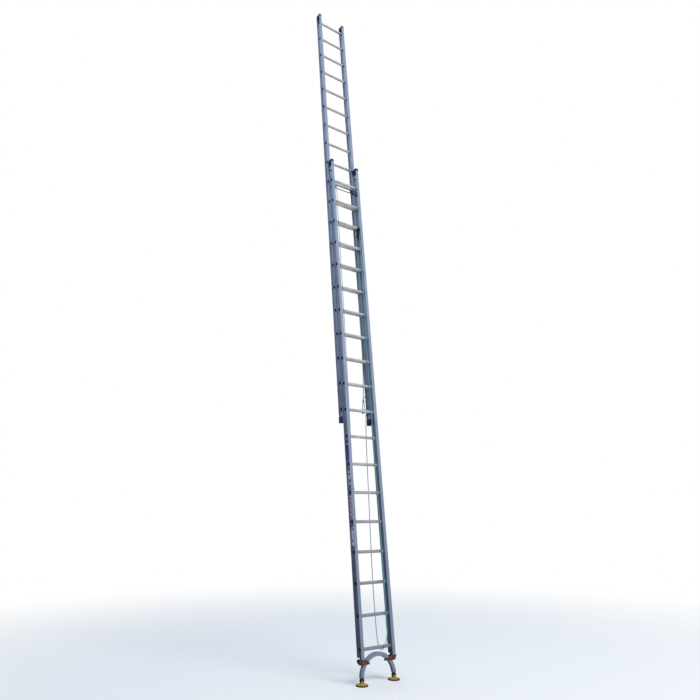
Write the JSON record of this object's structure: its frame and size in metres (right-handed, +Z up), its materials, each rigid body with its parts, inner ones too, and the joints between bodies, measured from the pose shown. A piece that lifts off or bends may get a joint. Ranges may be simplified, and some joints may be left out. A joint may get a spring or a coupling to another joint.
{
  "type": "extension ladder",
  "caption": "Aluminium extension ladder with a levelling arc and swivel feet, rope hoist and rung latch, standing at its working lean",
  "frame": {"origin": "on the floor midway between the two feet", "axes": "+Z up, +X along the rungs to the right of someone climbing, +Y towards the wall that the ladder leans on"},
  "size_m": [0.521, 1.0796, 8.642],
  "materials": {
    "extruded_aluminium": "mill-finish extrusion, slightly weathered",
    "navy_plastic": "moulded navy plastic",
    "red_paint": "dark red paint",
    "black_plastic": "black moulding",
    "yellow_plastic": "ochre yellow moulding, scuffed",
    "sole_rubber": "matt black rubber",
    "plated_steel": "zinc plated fixings",
    "rope_fibre": "laid blue-green polypropylene rope",
    "label_film": "printed film label"
  },
  "bodies": {
    "base": {"base_rung_01": "extruded_aluminium", "base_rung_02": "extruded_aluminium", "base_rung_03": "extruded_aluminium", "base_rung_04": "extruded_aluminium", "base_rung_05": "extruded_aluminium", "base_rung_06": "extruded_aluminium", "base_rung_07": "extruded_aluminium", "base_rung_08": "extruded_aluminium", "base_rung_09": "extruded_aluminium", "base_rung_10": "extruded_aluminium", "base_rung_11": "extruded_aluminium", "base_rung_12": "extruded_aluminium", "base_rung_13": "extruded_aluminium", "base_rung_14": "extruded_aluminium", "base_rung_15": "extruded_aluminium", "base_rung_16": "extruded_aluminium", "base_rung_17": "extruded_aluminium", "base_rung_18": "extruded_aluminium", "base_rung_19": "extruded_aluminium", "base_stile_left": "extruded_aluminium", "base_stile_right": "extruded_aluminium", "base_cap_left": "navy_plastic", "base_cap_right": "navy_plastic", "arc_clamp_left": "red_paint", "arc_clamp_right": "red_paint", "pulley_bracket": "black_plastic", "hoist_rope": "rope_fibre", "latch_line": "rope_fibre"},
    "fly": {"fly_rung_01": "extruded_aluminium", "fly_rung_02": "extruded_aluminium", "fly_rung_03": "extruded_aluminium", "fly_rung_04": "extruded_aluminium", "fly_rung_05": "extruded_aluminium", "fly_rung_06": "extruded_aluminium", "fly_rung_07": "extruded_aluminium", "fly_rung_08": "extruded_aluminium", "fly_rung_09": "extruded_aluminium", "fly_rung_10": "extruded_aluminium", "fly_rung_11": "extruded_aluminium", "fly_rung_12": "extruded_aluminium", "fly_rung_13": "extruded_aluminium", "fly_rung_14": "extruded_aluminium", "fly_rung_15": "extruded_aluminium", "fly_rung_16": "extruded_aluminium", "fly_rung_17": "extruded_aluminium", "fly_rung_18": "extruded_aluminium", "fly_rung_19": "extruded_aluminium", "fly_rung_20": "extruded_aluminium", "fly_stile_left": "extruded_aluminium", "fly_stile_right": "extruded_aluminium", "fly_guide_left": "navy_plastic", "fly_guide_right": "navy_plastic"},
    "arc": {"levelling_arc": "extruded_aluminium"},
    "neck_left": {"foot_neck_left": "black_plastic"},
    "neck_right": {"foot_neck_right": "black_plastic"},
    "pad_left": {"foot_pad_left": "yellow_plastic"},
    "pad_right": {"foot_pad_right": "yellow_plastic"},
    "latch": {"latch_yoke": "black_plastic"},
    "sheave": {"pulley_sheave": "black_plastic"}
  },
  "joints": [
    {"name": "fly_slide", "type": "slide", "parent": "base", "child": "fly", "axis": [0, 0.1045, 0.9945], "range_m": [-2.44, 1.83]},
    {"name": "latch_swing", "type": "hinge", "parent": "base", "child": "latch", "pos_m": [0, 0.6178, 5.68637], "axis": [1, 0, 0], "range_deg": [0, 22], "stiffness_Nm_per_rad": 2, "springref_deg": -5.73},
    {"name": "sheave_spin", "type": "hinge", "parent": "base", "child": "sheave", "pos_m": [0.164, 0.52693, 5.05138], "axis": [1, 0, 0], "continuous": true},
    {"name": "arc_level", "type": "hinge", "parent": "base", "child": "arc", "pos_m": [0, 0.00199, 0.0569], "axis": [0, 0.9945, -0.1045], "range_deg": [-15, 15]},
    {"name": "neck_tilt_left", "type": "hinge", "parent": "arc", "child": "neck_left", "pos_m": [-0.20051, 0.00397, 0.07581], "axis": [0, 0.9945, -0.1045], "range_deg": [-20, 20]},
    {"name": "pad_tilt_left", "type": "hinge", "parent": "neck_left", "child": "pad_left", "pos_m": [-0.20051, 0, 0.038], "axis": [1, 0, 0], "range_deg": [-36, 24]},
    {"name": "neck_tilt_right", "type": "hinge", "parent": "arc", "child": "neck_right", "pos_m": [0.20051, 0.00397, 0.07581], "axis": [0, 0.9945, -0.1045], "range_deg": [-20, 20]},
    {"name": "pad_tilt_right", "type": "hinge", "parent": "neck_right", "child": "pad_right", "pos_m": [0.20051, 0, 0.038], "axis": [1, 0, 0], "range_deg": [-36, 24]}
  ]
}
